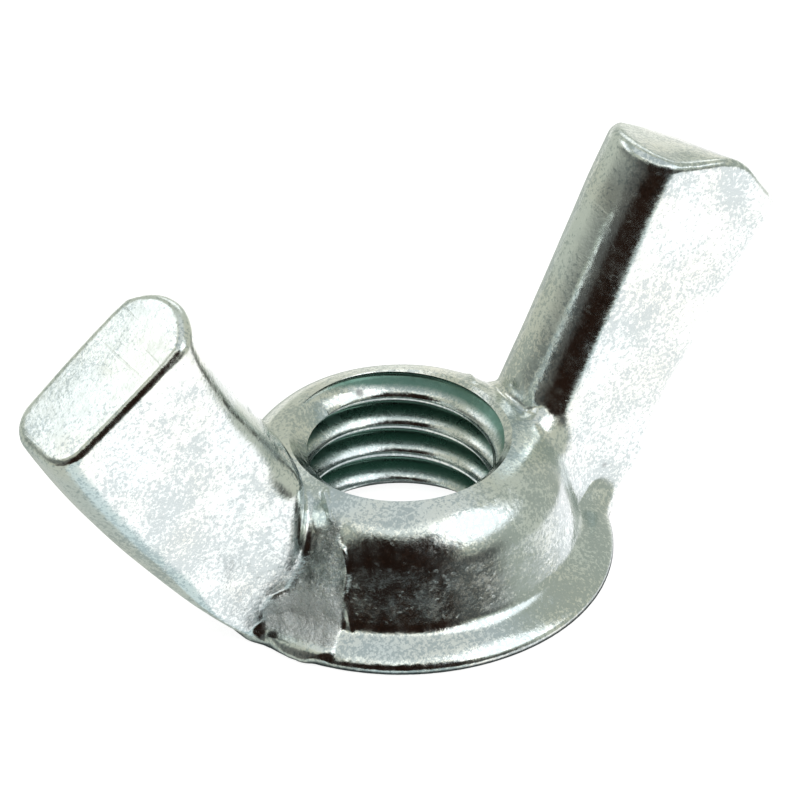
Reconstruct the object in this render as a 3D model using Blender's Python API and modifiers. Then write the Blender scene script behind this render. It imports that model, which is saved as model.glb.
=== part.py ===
"""A cold-forged steel wing nut for an M8 stud: one blank with a conical hub, a flange, a tapped hole and two wings.

Metres, +Z up. The origin is the centre of the bearing face, on the thread's axis, and the wings stand along X.
"""

import math

import bmesh
import bpy
from mathutils import Matrix, Vector

MM = 0.001

# Thread: ISO metric coarse, right hand
MAJOR_DIAMETER = 8.0 * MM
PITCH = 1.25 * MM
FLANK_ANGLE = math.radians(30)
ROOT_FLAT = PITCH / 8
MINOR_DIAMETER = MAJOR_DIAMETER - 2 * 0.625 * PITCH * math.cos(FLANK_ANGLE)
GROOVE_START_HEIGHT = -1.55 * MM
GROOVE_TURNS = 7
GROOVE_OVERRUN = PITCH / 8

# Hub and flange
HUB_HEIGHT = 5.07 * MM
MOUTH_RADIUS = 4.0 * MM
MOUTH_DEPTH = 0.62 * MM
SHOULDER_RADIUS = 1.0 * MM
SHOULDER_TOP_SLOPE = math.radians(21)
WALL_DRAFT = math.radians(14)
WALL_TOP_RADIUS = 5.70 * MM
WALL_TOP_HEIGHT = 4.0 * MM
FOOT_FILLET = 0.40 * MM
FLANGE_RADIUS = 7.66 * MM
FLANGE_SLOPE = math.radians(9)
FLANGE_EDGE = 0.40 * MM

# Wings, as distances from the thread's axis and heights above the bearing face
WING_THICKNESS = 3.85 * MM
WING_EDGE_RADIUS = 1.25 * MM
WING_END_RADIUS = 0.32 * MM
ROOT_FOOT = (4.85 * MM, 0.31 * MM)
ROOT_NECK = (4.74 * MM, 5.6 * MM)
INNER_START = (4.80 * MM, 6.3 * MM)
INNER_TIP = (9.56 * MM, 14.72 * MM)
INNER_HOLLOW = 0.25 * MM
OUTER_TIP = (15.46 * MM, 10.42 * MM)
END_CROWN = 0.14 * MM
OUTER_FOOT = (7.60 * MM, 0.23 * MM)
OUTER_BULGE = 0.52 * MM

# Facets
ROUND_STEPS = 72
ARC_STEPS = 5
EDGE_STEPS = 10
BEVEL_SEGMENTS = 5
END_SEGMENTS = 2
END_EDGE_ANGLE = math.radians(50)
FLAT_ANGLE = math.radians(1)
SMOOTH_ANGLE = math.radians(32)
SCREW_MERGE = 1e-6
COUNTERSINK_OVERRUN = 0.5 * MM
CUTTER_OVERRUN = 2.2 * MM


def clear_scene():
    for obj in list(bpy.data.objects):
        bpy.data.objects.remove(obj, do_unlink=True)


def new_collection(name):
    collection = bpy.data.collections.new(name)
    bpy.context.scene.collection.children.link(collection)
    return collection


def place(name, mesh, collection):
    obj = bpy.data.objects.new(name, mesh)
    collection.objects.link(obj)
    return obj


def as_helper(obj):
    obj.hide_render = True
    obj.display_type = "WIRE"


def arc(centre, radius, start, end, steps=ARC_STEPS):
    """Points round a centre in the (radius, height) plane, between two angles from the outward direction."""
    points = []
    for i in range(steps + 1):
        angle = start + (end - start) * i / steps
        points.append((centre[0] + radius * math.cos(angle), centre[1] + radius * math.sin(angle)))
    return points


def bowed(start, end, rise, steps):
    """Points from start to end on a shallow parabola that stands rise proud of the chord, to its left."""
    along = Vector(end) - Vector(start)
    left = Vector((-along.y, along.x)).normalized()
    points = []
    for i in range(steps + 1):
        share = i / steps
        points.append(tuple(Vector(start) + along * share + left * rise * 4 * share * (1 - share)))
    return points


def turned(name, profile, collection):
    """A solid of revolution about Z from a (radius, height) profile that runs top to bottom down its outer side."""
    mesh = bpy.data.meshes.new(name)
    points = [(radius, 0, height) for radius, height in profile]
    mesh.from_pydata(points, [(i, i + 1) for i in range(len(points) - 1)], [])
    obj = place(name, mesh, collection)
    screw = obj.modifiers.new("Turn", "SCREW")
    screw.axis = "Z"
    screw.steps = ROUND_STEPS
    screw.render_steps = ROUND_STEPS
    screw.use_merge_vertices = True
    screw.merge_threshold = SCREW_MERGE
    screw.use_smooth_shade = True
    return obj


def reach(point, normal):
    """How far a (radius, height) point lies out along a direction given as an angle."""
    return point[0] * math.cos(normal) + point[1] * math.sin(normal)


def crossing(first_normal, first_reach, second_normal, second_reach):
    """The (radius, height) point that lies a given distance out along each of two directions."""
    turn = math.sin(second_normal - first_normal)
    radius = first_reach * math.sin(second_normal) - second_reach * math.sin(first_normal)
    height = second_reach * math.cos(first_normal) - first_reach * math.cos(second_normal)
    return radius / turn, height / turn


def hub_profile():
    """The hub's domed top, rounded shoulder, drafted wall, foot fillet and flange, without its hole."""
    wall_normal = WALL_DRAFT
    flange_normal = math.pi / 2 - FLANGE_SLOPE
    wall_top = (WALL_TOP_RADIUS, WALL_TOP_HEIGHT)
    shoulder = (
        WALL_TOP_RADIUS - SHOULDER_RADIUS * math.cos(wall_normal),
        WALL_TOP_HEIGHT - SHOULDER_RADIUS * math.sin(wall_normal),
    )
    edge = (FLANGE_RADIUS - FLANGE_EDGE, FLANGE_EDGE)
    foot = crossing(
        wall_normal,
        reach(wall_top, wall_normal) + FOOT_FILLET,
        flange_normal,
        reach(edge, flange_normal) + FLANGE_EDGE + FOOT_FILLET,
    )
    profile = [(0, HUB_HEIGHT + MOUTH_RADIUS * math.tan(SHOULDER_TOP_SLOPE))]
    profile += arc(shoulder, SHOULDER_RADIUS, math.pi / 2 - SHOULDER_TOP_SLOPE, wall_normal)
    profile += arc(foot, FOOT_FILLET, math.pi + wall_normal, math.pi + flange_normal, ARC_STEPS - 1)
    profile += arc(edge, FLANGE_EDGE, flange_normal, -math.pi / 2, ARC_STEPS + 1)
    profile += [(0, 0)]
    return profile


def bore_profile():
    """The hole before threading, with a countersink at each face, and run past both faces."""
    minor = MINOR_DIAMETER / 2
    open_radius = MOUTH_RADIUS + (MOUTH_RADIUS - minor) / MOUTH_DEPTH * COUNTERSINK_OVERRUN
    return [
        (0, HUB_HEIGHT + CUTTER_OVERRUN),
        (open_radius, HUB_HEIGHT + CUTTER_OVERRUN),
        (open_radius, HUB_HEIGHT + COUNTERSINK_OVERRUN),
        (minor, HUB_HEIGHT - MOUTH_DEPTH),
        (minor, MOUTH_DEPTH),
        (open_radius, -COUNTERSINK_OVERRUN),
        (0, -COUNTERSINK_OVERRUN),
    ]


def thread_groove(collection):
    """The helical groove: a 60 degree section swept round Z, rising one pitch a turn, from below the nut to above."""
    inside = MINOR_DIAMETER / 2 - GROOVE_OVERRUN
    outside = MAJOR_DIAMETER / 2
    half_root = ROOT_FLAT / 2
    half_mouth = half_root + (outside - inside) * math.tan(FLANK_ANGLE)
    base = GROOVE_START_HEIGHT
    section = [
        (inside, base - half_mouth),
        (outside, base - half_root),
        (outside, base + half_root),
        (inside, base + half_mouth),
    ]
    shape = bmesh.new()
    corners = [shape.verts.new((radius, 0, height)) for radius, height in section]
    loop = [shape.edges.new((corners[i], corners[(i + 1) % len(corners)])) for i in range(len(corners))]
    bmesh.ops.spin(
        shape,
        geom=corners + loop,
        axis=(0, 0, 1),
        cent=(0, 0, 0),
        dvec=(0, 0, PITCH / ROUND_STEPS),
        angle=2 * math.pi * GROOVE_TURNS,
        steps=ROUND_STEPS * GROOVE_TURNS,
    )
    bmesh.ops.holes_fill(shape, edges=shape.edges[:], sides=len(section))
    bmesh.ops.recalc_face_normals(shape, faces=shape.faces[:])
    mesh = bpy.data.meshes.new("thread_groove")
    shape.to_mesh(mesh)
    shape.free()
    mesh.transform(Matrix.Rotation(math.pi / ROUND_STEPS, 4, "Z"))
    return place("thread_groove", mesh, collection)


def wing_outline():
    """The wing seen from the side, as (distance from the axis, height), with its foot buried in the hub."""
    outline = [ROOT_FOOT, ROOT_NECK]
    outline += bowed(INNER_START, INNER_TIP, -INNER_HOLLOW, EDGE_STEPS)
    outline += bowed(INNER_TIP, OUTER_TIP, END_CROWN, ARC_STEPS)[1:]
    outline += bowed(OUTER_TIP, OUTER_FOOT, OUTER_BULGE, EDGE_STEPS)[1:]
    return outline


def on_end(point):
    """Whether a point of the wing lies on its end face, between the two tips."""
    first, last = Vector(INNER_TIP), Vector(OUTER_TIP)
    normal = Vector((first.y - last.y, last.x - first.x)).normalized()
    return (Vector((point.x, point.z)) - first).dot(normal) > -SCREW_MERGE


def mark_long_edges(mesh):
    """Gives a bevel weight to the edges of the wing's two broad faces, and none to those of its end face."""
    weights = mesh.attributes.new("bevel_weight_edge", "FLOAT", "EDGE")
    for edge in mesh.edges:
        ends = [mesh.vertices[i].co for i in edge.vertices]
        across = abs(ends[0].y - ends[1].y) > WING_THICKNESS / 2
        if not across and not all(on_end(end) for end in ends):
            weights.data[edge.index].value = 1


def wing_plate(collection):
    """One wing: its side view given its thickness and joined up as a mesh."""
    curve = bpy.data.curves.new("wing_outline", "CURVE")
    curve.dimensions = "2D"
    curve.fill_mode = "BOTH"
    curve.extrude = WING_THICKNESS / 2
    outline = wing_outline()
    spline = curve.splines.new("POLY")
    spline.points.add(len(outline) - 1)
    for point, (across, height) in zip(spline.points, outline):
        point.co = (across, height, 0, 1)
    spline.use_cyclic_u = True
    guide = place("wing_outline", curve, collection)
    guide.rotation_euler = (math.pi / 2, 0, 0)
    bpy.context.view_layer.update()
    evaluated = guide.evaluated_get(bpy.context.evaluated_depsgraph_get())
    mesh = bpy.data.meshes.new_from_object(evaluated)
    mesh.transform(guide.matrix_world)
    bpy.data.objects.remove(guide, do_unlink=True)
    shape = bmesh.new()
    shape.from_mesh(mesh)
    bmesh.ops.remove_doubles(shape, verts=shape.verts[:], dist=SCREW_MERGE)
    bmesh.ops.dissolve_limit(
        shape, angle_limit=FLAT_ANGLE, verts=shape.verts[:], edges=shape.edges[:], delimit={"NORMAL"}
    )
    bmesh.ops.recalc_face_normals(shape, faces=shape.faces[:])
    shape.to_mesh(mesh)
    shape.free()
    return mesh


def wings(collection):
    """Both wings: the plate with its long edges rounded fully and its end softened, and its mirror image."""
    mesh = wing_plate(collection)
    mark_long_edges(mesh)
    obj = place("wings", mesh, collection)
    rounding = obj.modifiers.new("Long edges", "BEVEL")
    rounding.limit_method = "WEIGHT"
    rounding.width = WING_EDGE_RADIUS
    rounding.segments = BEVEL_SEGMENTS
    softening = obj.modifiers.new("End edges", "BEVEL")
    softening.limit_method = "ANGLE"
    softening.angle_limit = END_EDGE_ANGLE
    softening.width = WING_END_RADIUS
    softening.segments = END_SEGMENTS
    mirror = obj.modifiers.new("Other wing", "MIRROR")
    mirror.use_axis = (True, False, False)
    mirror.use_mirror_merge = False
    return obj


def combine(obj, operation, other):
    boolean = obj.modifiers.new(other.name, "BOOLEAN")
    boolean.operation = operation
    boolean.solver = "EXACT"
    boolean.object = other


def zinc():
    """Bright zinc plating, passivated slightly blue."""
    material = bpy.data.materials.new("bright_zinc")
    material.use_nodes = True
    shader = material.node_tree.nodes["Principled BSDF"]
    shader.inputs["Base Color"].default_value = (0.80, 0.82, 0.82, 1)
    shader.inputs["Metallic"].default_value = 1.0
    shader.inputs["Roughness"].default_value = 0.28
    return material


def main():
    clear_scene()
    parts = new_collection("wing_nut")
    helpers = new_collection("cutters")
    blank = turned("hub_blank", hub_profile(), helpers)
    plates = wings(helpers)
    bore = turned("bore", bore_profile(), helpers)
    groove = thread_groove(helpers)
    combine(blank, "UNION", plates)
    combine(blank, "DIFFERENCE", bore)
    combine(blank, "DIFFERENCE", groove)
    for helper in (blank, plates, bore, groove):
        as_helper(helper)
    helpers.hide_render = True
    bpy.context.view_layer.update()
    evaluated = blank.evaluated_get(bpy.context.evaluated_depsgraph_get())
    mesh = bpy.data.meshes.new_from_object(evaluated)
    mesh.shade_smooth()
    mesh.set_sharp_from_angle(angle=SMOOTH_ANGLE)
    mesh.materials.clear()
    mesh.materials.append(zinc())
    place("wing_nut_body", mesh, parts)


main()
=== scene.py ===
"""The finished look of a cold-forged, zinc-plated wing nut, built round its CAD solid.

The fine surface is modelled as a signed distance field in millimetres: a hub, a flange and two wings
joined with fillets, with the marks that forging leaves on them. The field is meshed, refined where it
curves tightly, and then cut with a tap and two countersinks. The spread, the flange and the height come
from the CAD solid's own box.
"""

import bmesh
import bpy
import numpy as np
from mathutils import Matrix, Vector


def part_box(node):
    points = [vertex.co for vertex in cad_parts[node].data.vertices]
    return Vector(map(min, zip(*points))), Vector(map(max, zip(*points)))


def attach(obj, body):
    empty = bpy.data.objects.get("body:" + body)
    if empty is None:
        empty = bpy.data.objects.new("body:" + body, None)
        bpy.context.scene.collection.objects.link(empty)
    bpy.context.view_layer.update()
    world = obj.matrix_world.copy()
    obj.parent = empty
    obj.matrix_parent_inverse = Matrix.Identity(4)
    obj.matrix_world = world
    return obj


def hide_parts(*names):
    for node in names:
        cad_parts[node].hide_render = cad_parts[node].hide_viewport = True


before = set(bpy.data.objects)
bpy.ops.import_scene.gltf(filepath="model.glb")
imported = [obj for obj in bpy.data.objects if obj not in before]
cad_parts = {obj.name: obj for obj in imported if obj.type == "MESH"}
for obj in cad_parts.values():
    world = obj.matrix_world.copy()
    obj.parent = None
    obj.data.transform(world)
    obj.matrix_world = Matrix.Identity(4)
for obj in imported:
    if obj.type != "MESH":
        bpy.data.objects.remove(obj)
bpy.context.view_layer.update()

MM = 0.001
NODE = "wing_nut_body"
NODE_LOW, NODE_HIGH = (np.array(corner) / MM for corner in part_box(NODE))

# Main sizes in millimetres, from the CAD solid's box
SPREAD = NODE_HIGH[0]
FLANGE_RADIUS = NODE_HIGH[1]
HEIGHT = NODE_HIGH[2]

# Hub and flange
HUB_HEIGHT = 5.07
MOUTH_RADIUS = 4.0
MOUTH_DEPTH = 0.62
TOP_SLOPE = np.radians(21)
SHOULDER_RADIUS = 1.0
WALL_DRAFT = np.radians(14)
WALL_TOP = (5.70, 4.0)
FLANGE_SLOPE = np.radians(9)
FLANGE_TOP = (6.9, 0.86)
FLANGE_RIM = (FLANGE_RADIUS, 0.34)
FLANGE_RIM_SLOPE = np.radians(40)
FLANGE_CROWN = 0.25
FLANGE_EDGE = 0.10
FOOT_FILLET = 0.35
BASE_EDGE = 0.14

# Thread: M8 x 1.25, right hand
MAJOR_RADIUS = 4.0
PITCH = 1.25
THREAD_DEPTH = 0.625 * PITCH * np.cos(np.radians(30))
MINOR_RADIUS = MAJOR_RADIUS - THREAD_DEPTH
MOUTH_GROWTH = (MOUTH_RADIUS - MINOR_RADIUS) / MOUTH_DEPTH
GROOVE_START = 0.952
TAP_TURNS = 7
CREST_ROUNDING = 0.32
ROOT_ROUNDING = 0.08

# Wings
LEFT, RIGHT = -1, 1
HALF_THICKNESS = 1.925
LONG_EDGE = 1.25
FOOT_EDGE = 0.30
FACE_EDGE = 0.16
INNER_CROWN = 2.2
FACE_TAPER = 0.10
NECKS = {LEFT: 4.74, RIGHT: 4.30}
NECK_ROUNDING = 0.8
INNER_STARTS = {LEFT: np.array((4.80, 6.3)), RIGHT: np.array((4.58, 4.8))}
INNER_TIP = np.array((SPREAD - 5.78, HEIGHT + 0.14))
INNER_HOLLOWS = {LEFT: 0.25, RIGHT: 0.06}
OUTER_TIP = np.array((SPREAD + 0.12, HEIGHT - 4.16))
END_CROWN = 0.14
END_EDGE = 0.30
END_EDGE_GROWTH = 0.20
OUTER_FOOT = np.array((FLANGE_RADIUS - 0.06, 0.23))
OUTER_BULGE = 0.52
ROOT_FLARE = 0.36

# Fillets between the wings and the hub
TOP_FILLETS = {LEFT: 0.40, RIGHT: 0.30}
WALL_FILLETS = {LEFT: 0.45, RIGHT: 1.00}
FRONT_FILLET = 1.3

# Rough strip that the trimming tool left beside each wing: bearing of the wing, and how strong the strip is
STRIPS = ((180, 1.0), (0, 0.55))
PARTING_BEARINGS = (41.8, 38.0, 38.6, 35.9, 32.8, 27.7, 18.4)
PARTING_HEIGHTS = (0.85, 2.3, 3.1, 4.0, 4.48, 4.65, 4.96)
RIDGE_HEIGHT = 0.13
RIDGE_WIDTH = 0.10
LUMP_BEARING = 28
LUMP_HEIGHT = 1.25
LUMP_RISE = 0.15

# Meshing
FINE_STEP = 0.19
FLATNESS = 0.005
SHORTEST_EDGE = 0.07
SHARP_ANGLE = np.radians(38)


# ---------------------------------------------------------------- distance field

def outer_corner(a, b, radius):
    """The part of space inside both a and b, with its edge rounded."""
    u = np.maximum(radius + a, 0)
    v = np.maximum(radius + b, 0)
    return np.minimum(-radius, np.maximum(a, b)) + np.hypot(u, v)


def inner_corner(a, b, radius):
    """The part of space inside a or b, with a fillet where they meet."""
    u = np.maximum(radius - a, 0)
    v = np.maximum(radius - b, 0)
    return np.maximum(radius, np.minimum(a, b)) - np.hypot(u, v)


def ease(value, low, high):
    """0 below low, 1 above high, and a smooth step between. low may be the larger."""
    share = np.clip((value - low) / (high - low), 0, 1)
    return share * share * (3 - 2 * share)


def circle_through(start, end, rise):
    """Centre and radius of the arc from start to end that stands rise to the left of its chord."""
    chord = end - start
    length = np.hypot(*chord)
    left = np.array((-chord[1], chord[0])) / length
    radius = length * length / (8 * rise) + rise / 2
    return (start + end) / 2 - left * (radius - rise), abs(radius)


INNER_ARCS = {
    side: circle_through(INNER_STARTS[side], INNER_TIP, -INNER_HOLLOWS[side]) for side in (LEFT, RIGHT)
}
END_ARC = circle_through(INNER_TIP, OUTER_TIP, END_CROWN)
OUTER_ARC = circle_through(OUTER_TIP, OUTER_FOOT, OUTER_BULGE)
END_ALONG = (OUTER_TIP - INNER_TIP) / np.hypot(*(OUTER_TIP - INNER_TIP))
END_LENGTH = np.hypot(*(OUTER_TIP - INNER_TIP))

LATTICE = np.random.default_rng(8).uniform(-1, 1, (24, 24, 24))


def noise(points, scale, shift=0.0):
    """Smooth noise between about -1 and 1, whose bumps are about scale millimetres across."""
    place = points / scale + shift + 1000
    cell = np.floor(place).astype(int)
    part = place - cell
    part = part**3 * (10 + part * (6 * part - 15))
    total = 0
    for corner in np.ndindex(2, 2, 2):
        weight = np.prod(np.where(corner, part, 1 - part), axis=1)
        i, j, k = ((cell + corner) % len(LATTICE)).T
        total = total + weight * LATTICE[i, j, k]
    return total


def from_circle(x, z, arc):
    """Distance outside an arc's full circle."""
    centre, radius = arc
    return np.hypot(x - centre[0], z - centre[1]) - radius


def above_cone(across, z, point, slope):
    """Distance above a cone about the axis, which passes through (radius, height) and falls at a slope."""
    return (across - point[0]) * np.sin(slope) + (z - point[1]) * np.cos(slope)


def hub_field(points):
    """The hub's cone on its flange, before tapping."""
    across = np.hypot(points[:, 0], points[:, 1])
    z = points[:, 2]
    top = above_cone(across, z, (MOUTH_RADIUS, HUB_HEIGHT), TOP_SLOPE)
    wall = (across - WALL_TOP[0]) * np.cos(WALL_DRAFT) + (z - WALL_TOP[1]) * np.sin(WALL_DRAFT)
    cone = outer_corner(top, wall, SHOULDER_RADIUS)
    face = above_cone(across, z, FLANGE_TOP, FLANGE_SLOPE)
    rim = above_cone(across, z, FLANGE_RIM, FLANGE_RIM_SLOPE)
    flange = outer_corner(outer_corner(face, rim, FLANGE_CROWN), across - FLANGE_RADIUS, FLANGE_EDGE)
    return inner_corner(cone, flange, FOOT_FILLET)


def end_face_offset(x, y, z, side):
    """How far each wing's end stands past the nominal end, as the press left it."""
    along = ((x - INNER_TIP[0]) * END_ALONG[0] + (z - INNER_TIP[1]) * END_ALONG[1]) / END_LENGTH
    if side == LEFT:
        shift, tilt = 0.01, 0.09
        return shift + tilt * along - 4 * END_CROWN * along * (1 - along)
    sunk, lean, swell = 0.25, 0.05, 0.47
    swell_middle, swell_width = 0.55, 0.26
    front = -y / HALF_THICKNESS
    crown = np.exp(-(((along - swell_middle) / swell_width) ** 2))
    return -sunk + lean * front + swell * crown * (1 + front)


def inner_edge_offset(z, side):
    """How far each wing's inner edge stands towards the axis from the nominal edge."""
    if side == LEFT:
        low_fullness, tip_lean = 0.12, 0.17
        return low_fullness * ease(z, 10.5, 8.5) + tip_lean * ease(z, 12.3, 14.8)
    tip_hollow = 0.10
    return -tip_hollow * ease(z, 12.0, 14.0)


def outer_edge_offset(z, side):
    """How far each wing's outer edge stands out from the nominal edge."""
    fullness = 0.05
    if side == LEFT:
        return fullness
    foot, waist = 0.22, 0.20
    foot_part = foot * ease(z, 3.2, 1.0)
    waist_part = waist * ease(z, 1.2, 4.5) * ease(z, 10.2, 8.6)
    return foot_part - waist_part + fullness * ease(z, 9.0, 10.4)


def wing_field(points, side):
    """One wing: a plate whose inner edge is an arc from face to face, and whose outer edge is rounded."""
    x = side * points[:, 0]
    y, z = np.abs(points[:, 1]), points[:, 2]
    flare = ROOT_FLARE * ease(x, 8.4, 5.2) * ease(z, 7.6, 5.6) if side == LEFT else 0.0
    hollow = -from_circle(x, z, INNER_ARCS[side]) - inner_edge_offset(z, side)
    inner = outer_corner(hollow, NECKS[side] - x, NECK_ROUNDING)
    crowned = np.hypot(np.maximum(inner + INNER_CROWN, 0), np.maximum(y - flare, 0)) - INNER_CROWN
    outer = from_circle(x, z, OUTER_ARC) - outer_edge_offset(z, side)
    face = y - HALF_THICKNESS - flare + FACE_TAPER * ease(outer, -4.5, 0)
    rounding = FOOT_EDGE + (LONG_EDGE - FOOT_EDGE) * ease(z, 1.2, 4.5)
    plate = outer_corner(crowned, outer_corner(outer, face, rounding), FACE_EDGE)
    end = from_circle(x, z, END_ARC) - end_face_offset(x, points[:, 1], z, side)
    end_edge = END_EDGE + END_EDGE_GROWTH * ease(x, INNER_TIP[0] + 1.6, INNER_TIP[0] + 0.2)
    return outer_corner(plate, end, end_edge)


def polyline_distance(points, line):
    """Distance from each point to the nearest stretch of a line of straight pieces."""
    nearest = np.full(len(points), np.inf)
    for start, end in zip(line[:-1], line[1:]):
        along = end - start
        share = np.clip((points - start) @ along / (along @ along), 0, 1)
        gap = np.linalg.norm(points - start - share[:, None] * along, axis=1)
        nearest = np.minimum(nearest, gap)
    return nearest


def on_wall(angle, z):
    """A point of the hub's outer face, at an angle in degrees from +X."""
    slope_radius = WALL_TOP[0] + (WALL_TOP[1] - z) * np.tan(WALL_DRAFT)
    top_radius = MOUTH_RADIUS + (HUB_HEIGHT - z) / np.tan(TOP_SLOPE)
    radius = min(slope_radius, top_radius)
    return np.array((radius * np.cos(np.radians(angle)), radius * np.sin(np.radians(angle)), z))


def parting_line(turn):
    """The forging's parting line: up the hub wall beside a wing, over the shoulder, to the hole's rim."""
    return [on_wall(turn + angle, z) for angle, z in zip(PARTING_BEARINGS, PARTING_HEIGHTS)]


def from_bearing(angle, turn):
    """Degrees from a bearing, between -180 and 180."""
    return (angle - turn + 180) % 360 - 180


def rough_strip(points):
    """1 on the strip of hub wall beside a wing that the trimming tool left rough, and 0 elsewhere."""
    x, y, z = points.T
    angle = np.degrees(np.arctan2(y, x))
    across = np.hypot(x, y)
    zone = np.zeros(len(points))
    near_edge = 21 - 7 * ease(z, 2.2, 1.3) + 6 * ease(z, 2.4, 4.4)
    far_edge = 38.5 - 6 * ease(z, 3.4, 4.5)
    on_the_wall = ease(z, 0.4, 0.7) * ease(z, 4.9, 4.4) * ease(across, 4.5, 5.1) * ease(across, 7.5, 7.2)
    for turn, strength in STRIPS:
        local = from_bearing(angle, turn)
        beside = ease(local, far_edge, far_edge - 1.5) * ease(local, near_edge - 3, near_edge + 3)
        zone = np.maximum(zone, strength * beside * on_the_wall)
    return zone


def forging_marks(points):
    """What stands proud of the clean shape (positive) or is sunk in it (negative), in millimetres."""
    x, y, z = points.T
    angle = np.degrees(np.arctan2(y, x))
    proud = 0.018 * noise(points, 2.6) + 0.005 * noise(points, 0.9, 5.0)
    torn = 0.020 + 0.055 * noise(points, 0.50, 2.0) + 0.030 * noise(points, 0.24, 4.0)
    proud = proud + rough_strip(points) * torn
    ragged = 0.10 * noise(points, 0.35, 7.0)
    per_degree, per_millimetre = 0.095, 0.78
    for turn, strength in STRIPS:
        local = from_bearing(angle, turn)
        gap = polyline_distance(points, parting_line(turn))
        proud = proud + strength * RIDGE_HEIGHT * np.exp(-((gap / RIDGE_WIDTH) ** 2))
        from_lump = np.hypot((local - LUMP_BEARING) * per_degree, (z - LUMP_HEIGHT) * per_millimetre)
        proud = proud + strength * LUMP_RISE * ease(from_lump + ragged, 1.20, 0.80)
    return proud


def field(points):
    """Signed distance to the blank before tapping, negative inside."""
    y, z = points[:, 1], points[:, 2]
    body = hub_field(points)
    for side in (LEFT, RIGHT):
        wall_share = ease(z, 4.9, 3.4)
        fillet = TOP_FILLETS[side] + (WALL_FILLETS[side] - TOP_FILLETS[side]) * wall_share
        front = ease(-y, 0.5, 1.7) if side == RIGHT else 0.0
        fillet = np.maximum(fillet, FRONT_FILLET * front)
        body = inner_corner(body, wing_field(points, side), fillet)
    body = body - forging_marks(points)
    return outer_corner(body, -z, BASE_EDGE)


# ---------------------------------------------------------------- meshing

def surface_net(low, high, step):
    """Quads round the zero surface of the field, one vertex in each grid cell that the surface crosses."""
    counts = np.ceil((high - low) / step).astype(int) + 1
    axes = [low[i] + step * np.arange(counts[i]) for i in range(3)]
    values = np.empty(counts, np.float32)
    for i, x in enumerate(axes[0]):
        sheet = np.stack(np.meshgrid([x], axes[1], axes[2], indexing="ij"), axis=-1)
        values[i] = field(sheet.reshape(-1, 3)).reshape(counts[1:])
    inside = values < 0
    sums = np.zeros((*counts, 3))
    hits = np.zeros(counts)
    crossings = []
    for axis in range(3):
        first = tuple(slice(None, -1) if a == axis else slice(None) for a in range(3))
        second = tuple(slice(1, None) if a == axis else slice(None) for a in range(3))
        crossed = np.argwhere(inside[first] != inside[second])
        start = values[first][tuple(crossed.T)]
        end = values[second][tuple(crossed.T)]
        place = crossed.astype(float)
        place[:, axis] += start / (start - end)
        others = [a for a in range(3) if a != axis]
        for back_one in np.ndindex(2, 2):
            cell = crossed.copy()
            cell[:, others[0]] -= back_one[0]
            cell[:, others[1]] -= back_one[1]
            np.add.at(sums, tuple(cell.T), place)
            np.add.at(hits, tuple(cell.T), 1)
        crossings.append((axis, others, crossed, inside[first][tuple(crossed.T)]))
    used = np.argwhere(hits > 0)
    number = np.full(counts, -1)
    number[tuple(used.T)] = np.arange(len(used))
    vertices = low + step * sums[tuple(used.T)] / hits[tuple(used.T)][:, None]
    quads = []
    for axis, others, crossed, starts_inside in crossings:
        corners = []
        for back_one in ((0, 0), (1, 0), (1, 1), (0, 1)):
            cell = crossed.copy()
            cell[:, others[0]] -= back_one[0]
            cell[:, others[1]] -= back_one[1]
            corners.append(number[tuple(cell.T)])
        quad = np.stack(corners, axis=1)
        flip = starts_inside if axis == 1 else ~starts_inside
        quad[flip] = quad[flip][:, ::-1]
        quads.append(quad)
    return vertices, np.concatenate(quads)


def project(points, rounds=2):
    """Moves points onto the zero surface, along the field's gradient."""
    nudge = 0.004
    least_slope = 0.3
    for _ in range(rounds):
        slope = np.empty_like(points)
        for axis in range(3):
            offset = np.zeros(3)
            offset[axis] = nudge
            slope[:, axis] = (field(points + offset) - field(points - offset)) / (2 * nudge)
        size = np.maximum((slope**2).sum(axis=1), least_slope)
        points = points - (field(points) / size)[:, None] * slope
    return points


def relax(points, edges, rounds):
    """Evens out the vertices along the surface and puts them back on it."""
    count = np.bincount(edges.ravel(), minlength=len(points))[:, None]
    for _ in range(rounds):
        total = np.zeros_like(points)
        np.add.at(total, edges[:, 0], points[edges[:, 1]])
        np.add.at(total, edges[:, 1], points[edges[:, 0]])
        points = project(points + 0.5 * (total / count - points), 1)
    return points


def mesh_points(mesh):
    points = np.empty(len(mesh.vertices) * 3)
    mesh.vertices.foreach_get("co", points)
    return points.reshape(-1, 3)


def mesh_edges(mesh):
    edges = np.empty(len(mesh.edges) * 2, int)
    mesh.edges.foreach_get("vertices", edges)
    return edges.reshape(-1, 2)


def refine(mesh, tolerance, shortest):
    """Halves the edges whose middle lies off the surface, so that tight curves get smaller faces."""
    points = mesh_points(mesh)
    edges = mesh_edges(mesh)
    middle = (points[edges[:, 0]] + points[edges[:, 1]]) / 2
    length = np.linalg.norm(points[edges[:, 0]] - points[edges[:, 1]], axis=1)
    in_bore = np.hypot(middle[:, 0], middle[:, 1]) < MOUTH_RADIUS - 0.2
    wanted = (np.abs(field(middle)) > tolerance) & (length > shortest) & ~in_bore
    shape = bmesh.new()
    shape.from_mesh(mesh)
    shape.edges.ensure_lookup_table()
    chosen = [shape.edges[i] for i in np.flatnonzero(wanted)]
    bmesh.ops.subdivide_edges(shape, edges=chosen, cuts=1, use_grid_fill=True)
    bmesh.ops.triangulate(shape, faces=[f for f in shape.faces if len(f.verts) > 4])
    shape.to_mesh(mesh)
    shape.free()
    moved = relax(project(mesh_points(mesh)), mesh_edges(mesh), 1)
    mesh.vertices.foreach_set("co", moved.ravel())
    mesh.update()


def new_object(name, mesh):
    obj = bpy.data.objects.new(name, mesh)
    bpy.context.scene.collection.objects.link(obj)
    return obj


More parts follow.
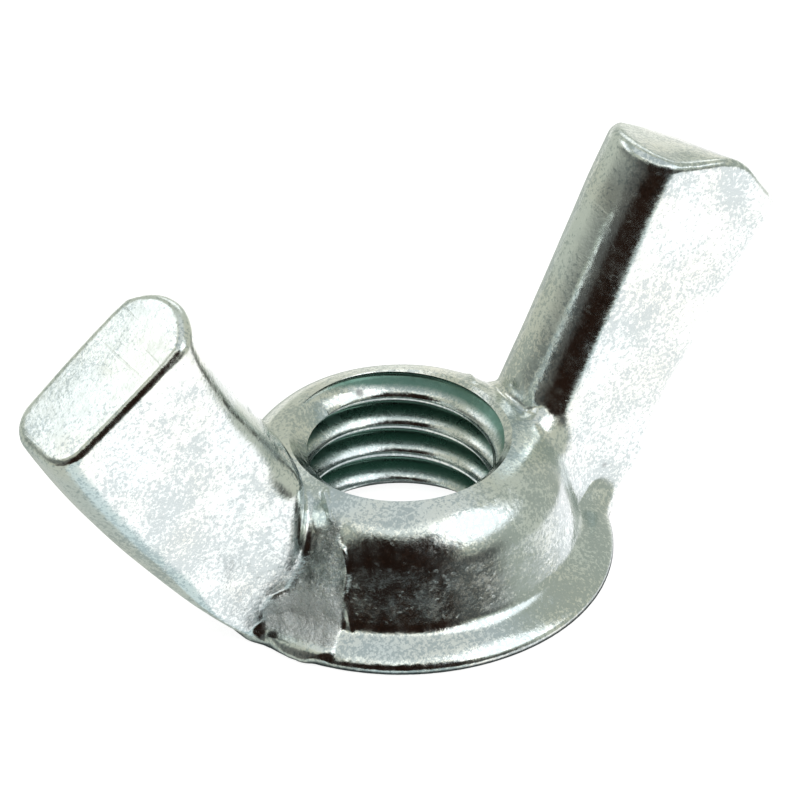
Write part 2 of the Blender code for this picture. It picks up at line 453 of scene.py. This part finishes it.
def blank():
    """The nut before tapping, as a mesh in millimetres."""
    step = FINE_STEP
    margin = 3 * step
    room = 0.6
    low = np.array((-SPREAD - room, -FLANGE_RADIUS, 0)) - margin
    high = np.array((SPREAD + room, FLANGE_RADIUS, HEIGHT + 0.5)) + margin
    points, quads = surface_net(low, high, step)
    mesh = bpy.data.meshes.new("wing_nut")
    mesh.from_pydata(points.tolist(), [], quads.tolist())
    mesh.update()
    moved = relax(project(points), mesh_edges(mesh), 4)
    mesh.vertices.foreach_set("co", moved.ravel())
    for _ in range(2):
        refine(mesh, FLATNESS, SHORTEST_EDGE)
    return mesh


# ---------------------------------------------------------------- tapping

def soft_min(a, b, width):
    """The smaller of two values, eased where they are within width of each other."""
    return np.minimum(a, b) - np.maximum(width - np.abs(a - b), 0) ** 2 / (4 * width)


def thread_profile():
    """One pitch of the tapped wall as (height, radius), from the middle of a root, with rounded corners."""
    steps = 26
    flank = 1 / np.tan(np.radians(30))
    half_root = PITCH / 16
    profile = []
    for i in range(steps):
        height = PITCH * i / steps
        from_root = min(height, PITCH - height)
        depth = flank * (from_root - half_root)
        depth = -soft_min(-depth, 0, ROOT_ROUNDING)
        depth = soft_min(depth, THREAD_DEPTH, CREST_ROUNDING)
        profile.append((height, MAJOR_RADIUS - depth))
    return profile


def tap():
    """A solid tap: the thread's ridges wound round a core, longer than the nut at both ends."""
    steps = 168
    profile = thread_profile()
    per_turn = len(profile)
    rows = per_turn * TAP_TURNS
    bottom = GROOVE_START - 2 * PITCH
    vertices = []
    for i in range(steps):
        angle = 2 * np.pi * i / steps
        for j in range(rows):
            height, radius = profile[j % per_turn]
            z = bottom + PITCH * (j // per_turn + i / steps) + height
            vertices.append((radius * np.cos(angle), radius * np.sin(angle), z))
    faces = []
    for i in range(steps):
        last = i + 1 == steps
        beside = 0 if last else (i + 1) * rows
        climb = per_turn if last else 0
        for j in range(rows - 1 - climb):
            here, there = i * rows + j, beside + j + climb
            faces.append((here, there, there + 1, here + 1))
    tip, tail = len(vertices), len(vertices) + 1
    vertices.append((0, 0, bottom - 1))
    vertices.append((0, 0, bottom + PITCH * (TAP_TURNS + 1) + 1))
    lower = [i * rows for i in range(steps)] + list(range(per_turn, 0, -1))
    upper = [i * rows + rows - 1 for i in range(steps)]
    upper += [(steps - 1) * rows + j for j in range(rows - 2, rows - 2 - per_turn, -1)]
    for end, loop in ((tip, lower), (tail, upper)):
        for a, b in zip(loop, loop[1:] + loop[:1]):
            faces.append((a, b, end))
    mesh = bpy.data.meshes.new("tap")
    mesh.from_pydata(vertices, [], faces)
    shape = bmesh.new()
    shape.from_mesh(mesh)
    bmesh.ops.recalc_face_normals(shape, faces=shape.faces[:])
    shape.to_mesh(mesh)
    shape.free()
    return new_object("tap", mesh)


def countersink(name, wide_z, narrow_z):
    """A cone that opens the hole at one face: its mouth's width at wide_z and the bore's at narrow_z."""
    outward = 1 if wide_z > narrow_z else -1
    steps = 192
    inside, overrun, clear = MOUTH_DEPTH * 0.5, 0.5, 2.4
    tip = (MINOR_RADIUS - MOUTH_GROWTH * inside, narrow_z - outward * inside)
    wide_radius = MOUTH_RADIUS + MOUTH_GROWTH * overrun
    wide = (wide_radius, wide_z + outward * overrun)
    end = (wide_radius, wide_z + outward * clear)
    shape = bmesh.new()
    rings = []
    for radius, z in (tip, wide, end):
        ring = []
        for i in range(steps):
            angle = 2 * np.pi * i / steps
            ring.append(shape.verts.new((radius * np.cos(angle), radius * np.sin(angle), z)))
        rings.append(ring)
    for lower, upper in zip(rings[:-1], rings[1:]):
        for i in range(steps):
            shape.faces.new((lower[i], lower[(i + 1) % steps], upper[(i + 1) % steps], upper[i]))
    shape.faces.new(rings[0])
    shape.faces.new(rings[-1])
    bmesh.ops.recalc_face_normals(shape, faces=shape.faces[:])
    mesh = bpy.data.meshes.new(name)
    shape.to_mesh(mesh)
    shape.free()
    return new_object(name, mesh)


def cut(obj, cutters):
    """Takes the cutters out of an object, removes them and returns its new mesh."""
    for cutter in cutters:
        boolean = obj.modifiers.new(cutter.name, "BOOLEAN")
        boolean.operation = "DIFFERENCE"
        boolean.solver = "EXACT"
        boolean.object = cutter
    bpy.context.view_layer.update()
    evaluated = obj.evaluated_get(bpy.context.evaluated_depsgraph_get())
    mesh = bpy.data.meshes.new_from_object(evaluated)
    obj.modifiers.clear()
    obj.data = mesh
    for cutter in cutters:
        bpy.data.objects.remove(cutter, do_unlink=True)
    return mesh


def weld(mesh):
    """Closes up the slivers that the cuts leave along their edges."""
    sliver = 0.003
    shape = bmesh.new()
    shape.from_mesh(mesh)
    bmesh.ops.remove_doubles(shape, verts=shape.verts[:], dist=sliver)
    bmesh.ops.triangulate(shape, faces=[face for face in shape.faces if len(face.verts) > 4])
    bmesh.ops.dissolve_degenerate(shape, edges=shape.edges[:], dist=sliver)
    shape.to_mesh(mesh)
    shape.free()


def groove_depth(points):
    """0 on the crests and the countersinks' cones, rising to 1 in the thread's groove."""
    across = np.hypot(points[:, 0], points[:, 1])
    z = points[:, 2]
    opening = MINOR_RADIUS + MOUTH_GROWTH * np.maximum(z - HUB_HEIGHT + MOUTH_DEPTH, 0)
    depth = ease(across - opening, 0.03, 0.12) * ease(across, 3.40, 3.75)
    return depth * (across < MAJOR_RADIUS + 0.01) * (z < HUB_HEIGHT)


def make_body():
    """The finished nut. Its vertices carry the rough strips and the thread's groove for the material."""
    nut = new_object("wing_nut", blank())
    mesh = cut(nut, [
        tap(),
        countersink("top_countersink", HUB_HEIGHT, HUB_HEIGHT - MOUTH_DEPTH),
        countersink("base_countersink", 0.0, MOUTH_DEPTH),
    ])
    weld(mesh)
    points = mesh_points(mesh)
    for name, values in (("rough_strip", rough_strip(points)), ("groove", groove_depth(points))):
        layer = mesh.attributes.new(name, "FLOAT", "POINT")
        layer.data.foreach_set("value", values.astype(np.float32))
    mesh.transform(Matrix.Scale(MM, 4))
    mesh.shade_smooth()
    mesh.set_sharp_from_angle(angle=SHARP_ANGLE)
    return nut


# ---------------------------------------------------------------- materials

class Nodes:
    """A short way to write a node tree: each call adds a node and returns it."""

    def __init__(self, tree):
        self.tree = tree
        tree.nodes.clear()

    def add(self, kind, inputs=None, **settings):
        node = self.tree.nodes.new(kind)
        for key, value in settings.items():
            setattr(node, key, value)
        for key, value in (inputs or {}).items():
            self.feed(node.inputs[key], value)
        return node

    def feed(self, socket, value):
        if isinstance(value, bpy.types.Node):
            value = value.outputs[0]
        if isinstance(value, bpy.types.NodeSocket):
            self.tree.links.new(value, socket)
        else:
            socket.default_value = value

    def math(self, operation, *values):
        node = self.add("ShaderNodeMath", operation=operation)
        for socket, value in zip(node.inputs, values):
            self.feed(socket, value)
        return node.outputs[0]

    def ramp(self, value, low, high, to_low=0.0, to_high=1.0):
        node = self.add("ShaderNodeMapRange", interpolation_type="SMOOTHSTEP")
        ends = {"From Min": low, "From Max": high, "To Min": to_low, "To Max": to_high}
        for key, given in {"Value": value, **ends}.items():
            self.feed(node.inputs[key], given)
        return node.outputs[0]

    def times(self, first, second):
        return self.math("MULTIPLY", first, second)

    def mix(self, share, first, second):
        node = self.add("ShaderNodeMix", data_type="RGBA")
        self.feed(node.inputs["Factor"], share)
        self.feed(node.inputs["A"], first)
        self.feed(node.inputs["B"], second)
        return node.outputs["Result"]

    def bump(self, height, strength, distance, normal=None):
        inputs = {"Height": height, "Strength": strength, "Distance": distance}
        if normal:
            inputs["Normal"] = normal
        return self.add("ShaderNodeBump", inputs)


WARM_ZINC = (0.82, 0.845, 0.79, 1)
COOL_ZINC = (0.77, 0.835, 0.83, 1)
DULL_SPECK = (0.44, 0.51, 0.52, 1)
PALE_FLECK = (0.95, 0.96, 0.95, 1)
# Painted shade: the dark teal of shade and inter-reflection deep in the thread's groove
GROOVE_PAINTED_SHADE = (0.09, 0.19, 0.15, 1)
STRIP_DARKENING = (0.16, 0.17, 0.16, 1)
CHALK = (0.88, 0.92, 0.93, 1)
PIT = (0.10, 0.10, 0.10, 1)
STREAK_TURNS = ((0.3, 0.2, 0.9), (1.1, 0.5, 2.2), (0.7, 1.4, 0.1), (2.0, 0.9, 1.5))


def zinc():
    """Bright zinc plate: mottled, scratched and pitted, with painted shade darkening the thread's groove to
    teal, torn on the rough strips.
    """
    material = bpy.data.materials.new("bright_zinc_plate")
    material.use_nodes = True
    n = Nodes(material.node_tree)
    where = n.add("ShaderNodeTexCoord").outputs["Object"]
    height = n.add("ShaderNodeSeparateXYZ", {"Vector": where}).outputs["Z"]
    strip = n.add("ShaderNodeAttribute", attribute_name="rough_strip").outputs["Fac"]
    groove = n.add("ShaderNodeAttribute", attribute_name="groove").outputs["Fac"]

    def texture(scale, detail, roughness=0.55):
        inputs = {"Vector": where, "Scale": scale, "Detail": detail, "Roughness": roughness}
        return n.add("ShaderNodeTexNoise", inputs).outputs["Fac"]

    def streak(turn):
        inputs = {"Vector": where, "Scale": (1, 0.05, 1), "Rotation": turn}
        place = n.add("ShaderNodeMapping", inputs)
        inputs = {"Vector": place, "Scale": 3200, "Detail": 1, "Roughness": 0.5}
        return n.ramp(n.add("ShaderNodeTexNoise", inputs).outputs["Fac"], 0.70, 0.76)

    # Specks: more of them low on the nut
    colour = n.mix(n.ramp(texture(260, 2), 0.35, 0.65), WARM_ZINC, COOL_ZINC)
    low_down = n.ramp(height, 9.5 * MM, 3.0 * MM, 0.0, 0.06)
    cloud = n.times(texture(420, 4, 0.6), 0.6)
    mottle = n.math("ADD", n.math("ADD", cloud, texture(7000, 4, 0.75)), low_down)
    colour = n.mix(n.times(n.ramp(mottle, 0.82, 0.87), 0.75), colour, DULL_SPECK)
    colour = n.mix(n.times(n.ramp(texture(12000, 2, 0.6), 0.64, 0.74), 0.6), colour, PALE_FLECK)
    # Painted shade: the thread's groove is darkened to teal, where shade and inter-reflection fall
    colour = n.mix(n.times(groove, 0.95), colour, GROOVE_PAINTED_SHADE)

    # Rough strips: mottled darker above, chalky on the lump at the foot
    darker_mottle = n.times(strip, n.ramp(texture(1100, 5, 0.75), 0.44, 0.58))
    darker_mottle = n.times(darker_mottle, n.ramp(height, 2.6 * MM, 1.9 * MM, 1.0, 0.15))
    colour = n.mix(n.times(darker_mottle, 0.60), colour, STRIP_DARKENING)
    chalky = n.times(strip, n.ramp(height, 2.7 * MM, 1.8 * MM))

    # Scratches and pits
    scratches = 0.0
    for turn in STREAK_TURNS:
        scratches = n.math("MAXIMUM", scratches, streak(turn))
    cells = n.add("ShaderNodeTexVoronoi", {"Vector": where, "Scale": 300}, feature="F1")
    pit = n.ramp(cells.outputs["Distance"], 0.03, 0.07, 1.0, 0.0)
    colour = n.mix(n.times(pit, 0.7), colour, PIT)
    colour = n.mix(n.times(chalky, 0.6), colour, CHALK)
    metallic = n.math("SUBTRACT", 1.0, n.times(chalky, 0.60))

    roughness = n.ramp(texture(1500, 4, 0.7), 0.35, 0.7, 0.12, 0.27)
    for share, extra in ((scratches, 0.10), (strip, 0.08), (groove, 0.12)):
        roughness = n.math("ADD", roughness, n.times(share, extra))

    torn = n.bump(texture(1900, 5, 0.7), strip, 0.26 * MM)
    grain = n.bump(texture(6000, 3, 0.6), 0.17, 0.04 * MM, torn)
    peel = n.bump(texture(900, 3, 0.5), 0.17, 0.05 * MM, grain)
    marks = n.math("ADD", n.times(scratches, -0.4), n.times(pit, -1.0))
    worn = n.bump(marks, 0.15, 0.03 * MM, peel)

    surface = {"Base Color": colour, "Metallic": metallic, "Roughness": roughness, "Normal": worn}
    shader = n.add("ShaderNodeBsdfPrincipled", surface)
    n.add("ShaderNodeOutputMaterial", {"Surface": shader})
    return material


# ---------------------------------------------------------------- stage

VIEW_AZIMUTH = -32.9
VIEW_ELEVATION = 36.07
CAMERA_DISTANCE = 0.76
LENS = 951.0
SENSOR = 36.0
AIM_HEIGHT = 0.367 * HEIGHT * MM
AIM_LEFT = 0.018 * MM

FLOOR_RADIUS = 1.5
FLOOR_GAP = 0.02 * MM
FLOOR_GREY = (0.35, 0.35, 0.35, 1)
FLOOR_GLOW = 0.92
SHADE_UNDER_HOLE = (0.9, 0.93, 0.92, 1)
SHADE_UNDER_NUT = (0.05, 0.06, 0.06, 1)

# Light of each part of the studio, as red, green and blue
WALLS = (0.56, 0.58, 0.50)
CEILING = (0.70, 0.74, 0.74)
LEFT_WALL = (0.20, 0.21, 0.19)
BACK_SOFT_BOX = (1.5, 1.5, 1.5)
RIM_SOFT_BOX = (1.3, 1.3, 1.25)
DIM_WALL = (0.105, 0.105, 0.098)
DARK_ROOM = (0.018, 0.009, 0.006)
STRIP_LIGHT = (1.35, 1.35, 1.30)
KEY_SOFT_BOX = (1.8, 1.8, 1.8)
FAR_PAPER = (0.98, 0.97, 0.88)
PAPER_SHADE = (0.55, 0.58, 0.53)
PAPER_FRONT = (0.72, 0.82, 0.83)
PAPER = (1.38, 1.34, 1.34)


def make_floor():
    """A plain pale floor. The nut mirrors only the shade close by: the rest is left to the studio."""
    bpy.ops.mesh.primitive_circle_add(
        vertices=96, radius=FLOOR_RADIUS, fill_type="NGON", location=(0, 0, -FLOOR_GAP))
    floor = bpy.context.object
    floor.name = "floor"
    material = bpy.data.materials.new("pale_floor")
    material.use_nodes = True
    n = Nodes(material.node_tree)

    def choose(share, first, second):
        node = n.add("ShaderNodeMixShader", {"Fac": share})
        n.feed(node.inputs[1], first)
        n.feed(node.inputs[2], second)
        return node

    geometry = n.add("ShaderNodeNewGeometry")
    camera_ray = n.add("ShaderNodeLightPath").outputs["Is Camera Ray"]
    lit = n.add("ShaderNodeAddShader")
    n.feed(lit.inputs[0], n.add("ShaderNodeBsdfDiffuse", {"Color": FLOOR_GREY}))
    n.feed(lit.inputs[1], n.add("ShaderNodeEmission", {"Color": (1, 1, 1, 1), "Strength": FLOOR_GLOW}))
    distance = n.add("ShaderNodeVectorMath", {0: geometry.outputs["Position"]}, operation="LENGTH")
    from_axis = distance.outputs["Value"]
    under_metal = n.ramp(from_axis, (MOUTH_RADIUS - 0.6) * MM, MOUTH_RADIUS * MM)
    shade_colour = n.mix(under_metal, SHADE_UNDER_HOLE, SHADE_UNDER_NUT)
    shade = n.add("ShaderNodeEmission", {"Color": shade_colour})
    in_the_open = n.ramp(from_axis, (FLANGE_RADIUS + 0.05) * MM, (FLANGE_RADIUS + 0.45) * MM)
    mirrored = choose(in_the_open, shade, n.add("ShaderNodeBsdfTransparent"))
    from_above = choose(camera_ray, mirrored, lit)
    from_below = n.add("ShaderNodeBsdfTransparent")
    seen = choose(geometry.outputs["Backfacing"], from_above, from_below)
    n.add("ShaderNodeOutputMaterial", {"Surface": seen})
    floor.data.materials.append(material)


def make_world():
    """The studio that the metal mirrors: soft boxes, a pale ceiling, a dark room and white paper."""
    world = bpy.data.worlds.new("studio")
    bpy.context.scene.world = world
    world.use_nodes = True
    n = Nodes(world.node_tree)
    generated = n.add("ShaderNodeTexCoord").outputs["Generated"]
    x, y, z = n.add("ShaderNodeSeparateXYZ", {"Vector": generated}).outputs
    azimuth = n.times(n.math("ARCTAN2", y, x), 180 / np.pi)
    elevation = n.times(n.math("ARCSINE", z), 180 / np.pi)

    def sector(centre, inner, outer):
        """1 within inner degrees of a bearing, falling to 0 at outer degrees."""
        gap = n.math("ABSOLUTE", n.math("WRAP", n.math("SUBTRACT", azimuth, centre), 180.0, -180.0))
        return n.ramp(gap, inner, outer, 1.0, 0.0)

    def band(low, low_soft, high, high_soft):
        """1 between two elevations, each given with half the width of its soft edge."""
        above = n.ramp(elevation, low - low_soft, low + low_soft)
        under = n.ramp(elevation, high - high_soft, high + high_soft, 1.0, 0.0)
        return n.times(above, under)

    def lay(light, across, upright, colour):
        return n.mix(n.times(across, upright), colour, (*light, 1))

    ceiling = n.ramp(elevation, 55, 66)
    far_paper = n.ramp(elevation, 4, -8)
    paper = n.ramp(elevation, -15, -22)
    near_paper = n.ramp(elevation, -16, -23)
    colour = n.mix(ceiling, (*WALLS, 1), (*CEILING, 1))
    colour = lay(LEFT_WALL, sector(162, 18, 42), band(4, 7, 30, 7), colour)
    colour = lay(BACK_SOFT_BOX, sector(122, 20, 30), band(34, 5, 50, 5), colour)
    colour = lay(RIM_SOFT_BOX, sector(50, 12, 20), band(14, 6, 38, 6), colour)
    colour = lay(DIM_WALL, sector(-122, 58, 76), band(-15, 3, 8, 7), colour)
    colour = lay(DIM_WALL, sector(-130, 42, 56), band(-15, 3, 38, 6), colour)
    colour = lay(DARK_ROOM, sector(-124, 28, 42), band(-15, 3, 52, 3), colour)
    colour = lay(STRIP_LIGHT, sector(-122, 46, 58), band(56, 2, 65, 3), colour)
    colour = lay(KEY_SOFT_BOX, sector(-60, 26, 34), band(34, 4, 66, 4), colour)
    colour = lay(KEY_SOFT_BOX, sector(-54, 20, 28), band(24, 4, 42, 5), colour)
    colour = lay(FAR_PAPER, sector(56, 34, 46), far_paper, colour)
    colour = n.mix(paper, colour, (*PAPER_SHADE, 1))
    colour = lay(PAPER_FRONT, sector(-105, 30, 50), paper, colour)
    colour = lay(PAPER, sector(-17, 68, 74), near_paper, colour)
    background = n.add("ShaderNodeBackground", {"Color": colour, "Strength": 1.0})
    n.add("ShaderNodeOutputWorld", {"Surface": background})


def make_camera():
    azimuth = np.radians(VIEW_AZIMUTH)
    elevation = np.radians(VIEW_ELEVATION)
    level = np.cos(elevation)
    back = Vector((np.sin(azimuth) * level, -np.cos(azimuth) * level, np.sin(elevation)))
    right = Vector((np.cos(azimuth), np.sin(azimuth), 0))
    up = back.cross(right)
    data = bpy.data.cameras.new("camera")
    data.lens = LENS
    data.sensor_width = SENSOR
    data.clip_start = 0.01
    data.clip_end = 10
    camera = bpy.data.objects.new("camera", data)
    bpy.context.scene.collection.objects.link(camera)
    target = up * AIM_HEIGHT - right * AIM_LEFT
    camera.location = target + back * CAMERA_DISTANCE
    camera.rotation_mode = "QUATERNION"
    camera.rotation_quaternion = back.to_track_quat("Z", "Y")
    bpy.context.scene.camera = camera


bpy.context.scene.view_settings.view_transform = "Standard"
nut = make_body()
nut.data.materials.clear()
nut.data.materials.append(zinc())
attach(nut, "root")
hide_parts(NODE)
make_floor()
make_world()
make_camera()
